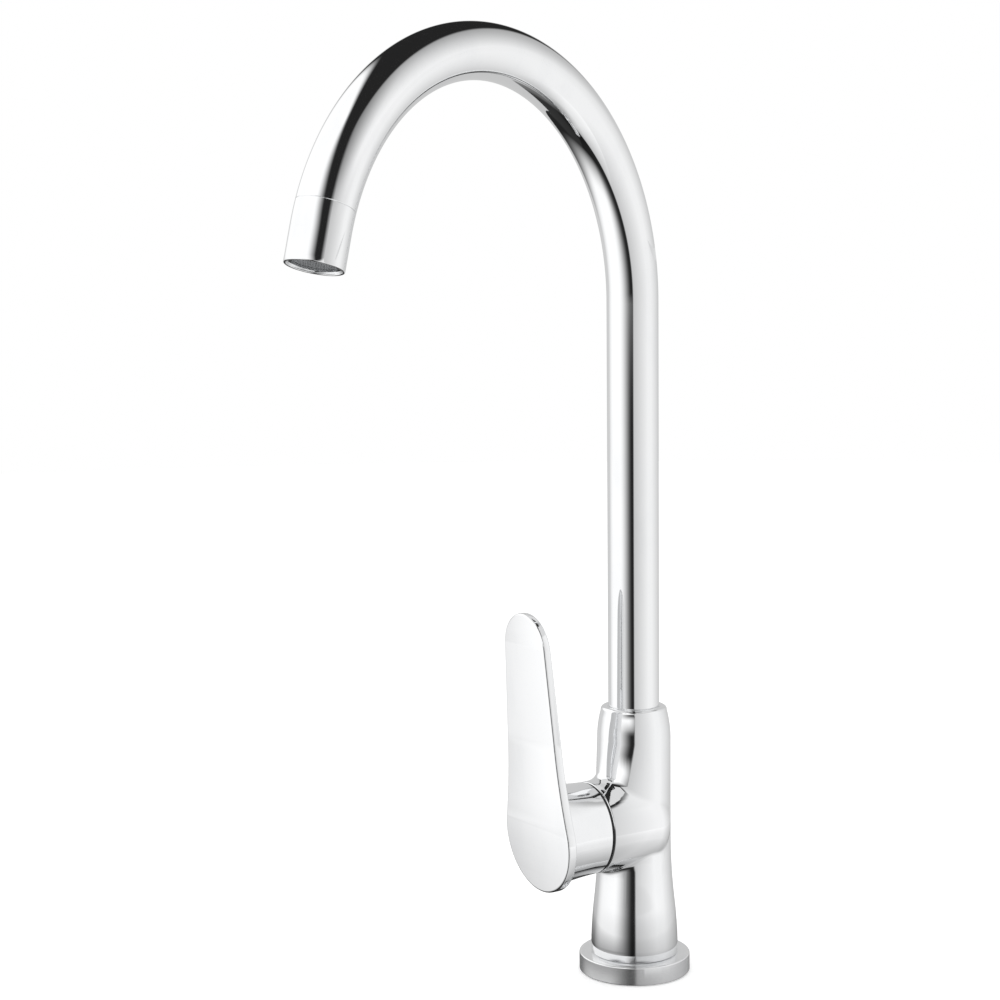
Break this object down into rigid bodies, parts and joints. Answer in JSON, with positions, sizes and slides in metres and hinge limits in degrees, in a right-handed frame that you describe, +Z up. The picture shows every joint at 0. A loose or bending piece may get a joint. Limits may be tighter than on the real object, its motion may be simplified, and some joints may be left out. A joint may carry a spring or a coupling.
{
  "type": "three way filtered water tap",
  "caption": "Swan-neck sink tap in chrome with a swivelling tube spout, a side paddle lever on a barrel, a ceramic disc cartridge and a separate inner tube for filtered water.",
  "frame": {"origin": "centre of the base underside on the worktop, at the mouth of the central fixing hole", "axes": "+Z up along the column; the spout reaches along -Y at rest; the lever barrel points 18.2 degrees from -Y towards -X"},
  "size_m": [0.0679, 0.2459, 0.4333],
  "materials": {
    "polished_chrome": "polished",
    "base_chrome": "polished, faint turning marks",
    "black_plastic": "matt",
    "black_rubber": "matt",
    "white_acetal": "matt",
    "white_ceramic": "lapped",
    "raw_brass": "machined",
    "plain_steel": "ground",
    "steel_mesh": "woven",
    "grey_plastic": "matt",
    "clear_tubing": "smooth",
    "cap_chrome": "polished"
  },
  "bodies": {
    "body": {"body_casting": "polished_chrome", "base_ring": "base_chrome", "base_seal": "black_rubber", "spout_lock_screw": "plain_steel", "cartridge_gasket": "black_rubber", "cartridge_base": "white_acetal", "fixed_ceramic_disc": "white_ceramic", "cartridge_housing": "white_acetal", "cartridge_nut": "raw_brass", "dome_cover": "black_plastic"},
    "turret": {"stem_guide": "white_acetal", "pivot_pin": "plain_steel"},
    "slider": {"moving_ceramic_disc": "white_ceramic", "disc_carrier": "white_acetal"},
    "lever": {"lever": "polished_chrome", "lever_stem": "plain_steel", "lever_grub_screw": "plain_steel", "grub_screw_cap": "cap_chrome"},
    "spout": {"spout_tube": "polished_chrome", "outlet_sleeve": "polished_chrome", "spout_stem": "raw_brass", "lower_slip_ring": "white_acetal", "upper_slip_ring": "white_acetal", "spout_o_rings": "black_rubber", "filter_nipple": "grey_plastic", "filter_water_tube": "clear_tubing", "aerator_housing": "polished_chrome", "aerator_mesh": "steel_mesh", "aerator_insert": "grey_plastic", "aerator_washer": "black_rubber", "filter_nozzle": "grey_plastic"}
  },
  "joints": [
    {"name": "spout_swivel", "type": "hinge", "parent": "body", "child": "spout", "pos_m": [0, 0, 0.1274], "axis": [0, 0, 1], "continuous": true},
    {"name": "lever_turn", "type": "hinge", "parent": "body", "child": "turret", "pos_m": [0, 0, 0.0724], "axis": [-0.3123, -0.95, 0], "range_deg": [-50, 90]},
    {"name": "lever_lift", "type": "hinge", "parent": "turret", "child": "lever", "pos_m": [-0.00275, -0.00836, 0.0724], "axis": [0.95, -0.3123, 0], "range_deg": [0, 20]},
    {"name": "disc_slide", "type": "slide", "parent": "turret", "child": "slider", "axis": [0, 0, 1], "range_m": [0, 0.0022]}
  ],
  "couplings": [
    {"joint": "disc_slide", "follows": "lever_lift", "m_per_rad": 0.006}
  ]
}
